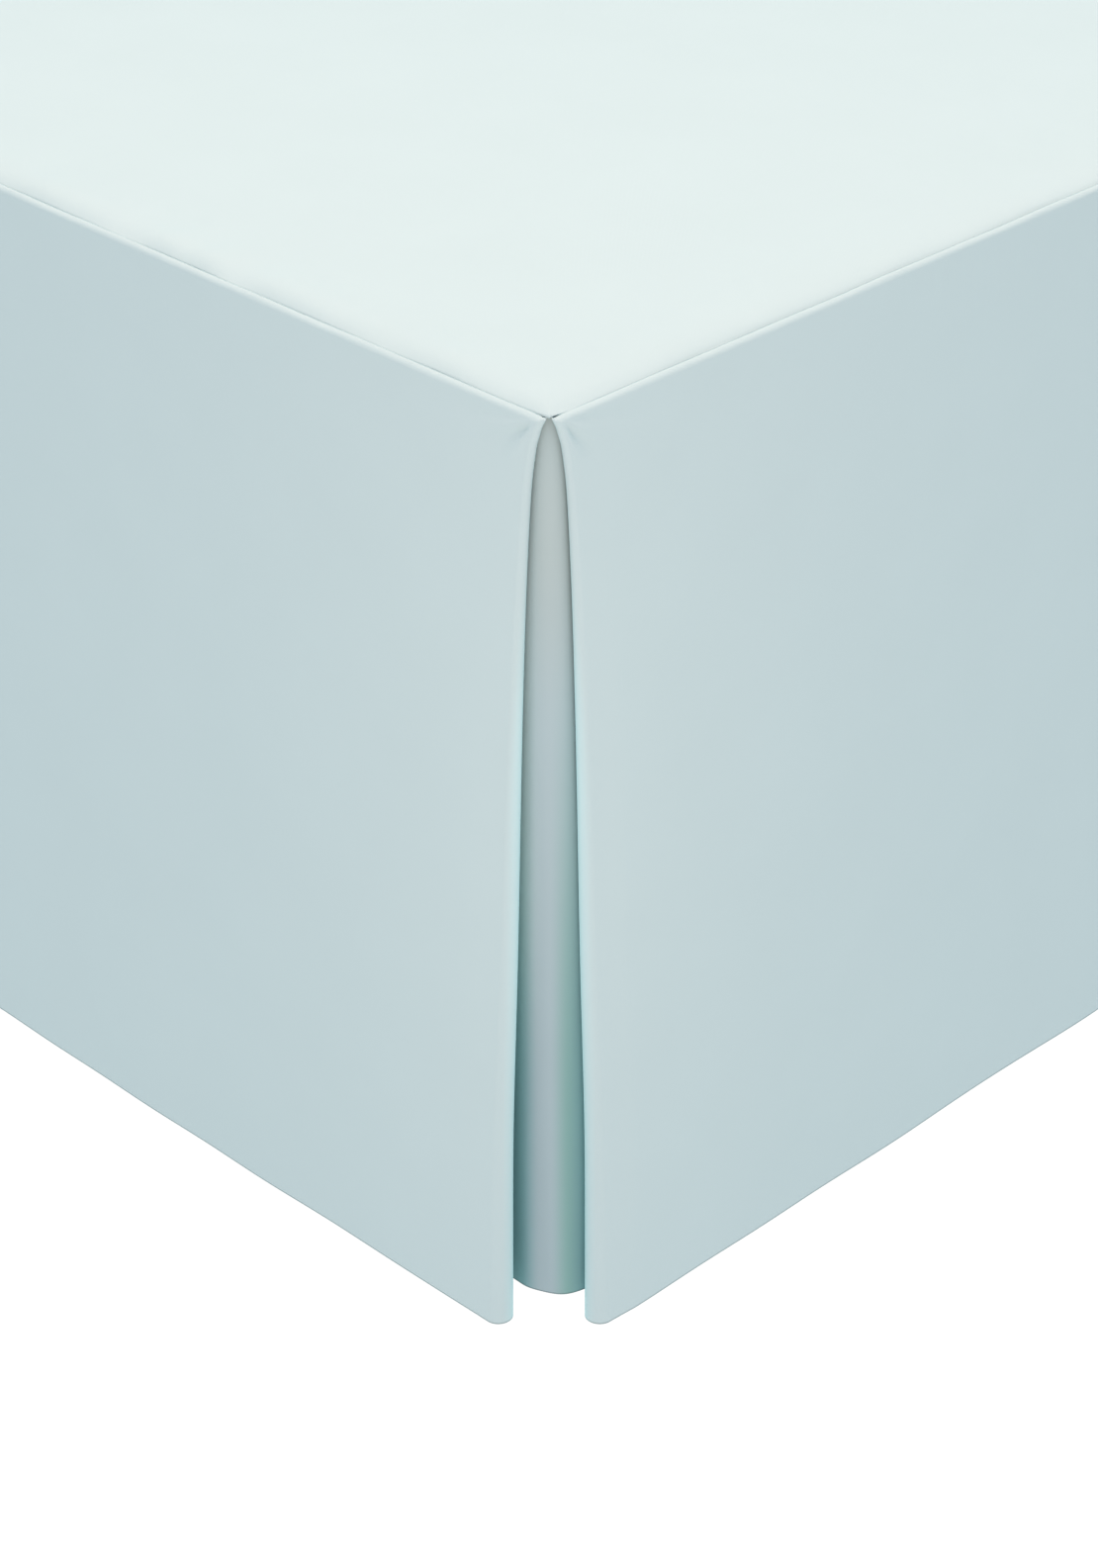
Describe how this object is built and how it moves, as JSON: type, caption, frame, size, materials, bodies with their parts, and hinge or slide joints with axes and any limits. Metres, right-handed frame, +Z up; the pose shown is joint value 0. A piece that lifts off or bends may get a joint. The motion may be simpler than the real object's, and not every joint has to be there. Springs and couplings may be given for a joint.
{
  "type": "bed skirt on a box spring base",
  "caption": "Tailored bed skirt with a flat deck cloth, straight drops and inverted corner pleats, hung over a plain box spring base on legs.",
  "frame": {"origin": "on the floor, in the middle of the part's footprint", "axes": "+Z up; +Y towards the head end, which is open; +X across the bed, to the right of someone who stands at the foot and looks at the bed"},
  "size_m": [1.5338, 2.036, 0.3705],
  "materials": {
    "skirt_cloth": "matte",
    "ticking": "matte",
    "leg_wood": "satin"
  },
  "bodies": {
    "root": {"deck": "skirt_cloth", "drop_foot": "skirt_cloth", "drop_side_right": "skirt_cloth", "drop_side_left": "skirt_cloth", "pleat_underlay_right": "skirt_cloth", "pleat_underlay_left": "skirt_cloth", "box_spring": "ticking", "leg_foot_left": "leg_wood", "leg_foot_right": "leg_wood", "leg_middle_left": "leg_wood", "leg_middle_right": "leg_wood", "leg_head_left": "leg_wood", "leg_head_right": "leg_wood"}
  },
  "joints": []
}
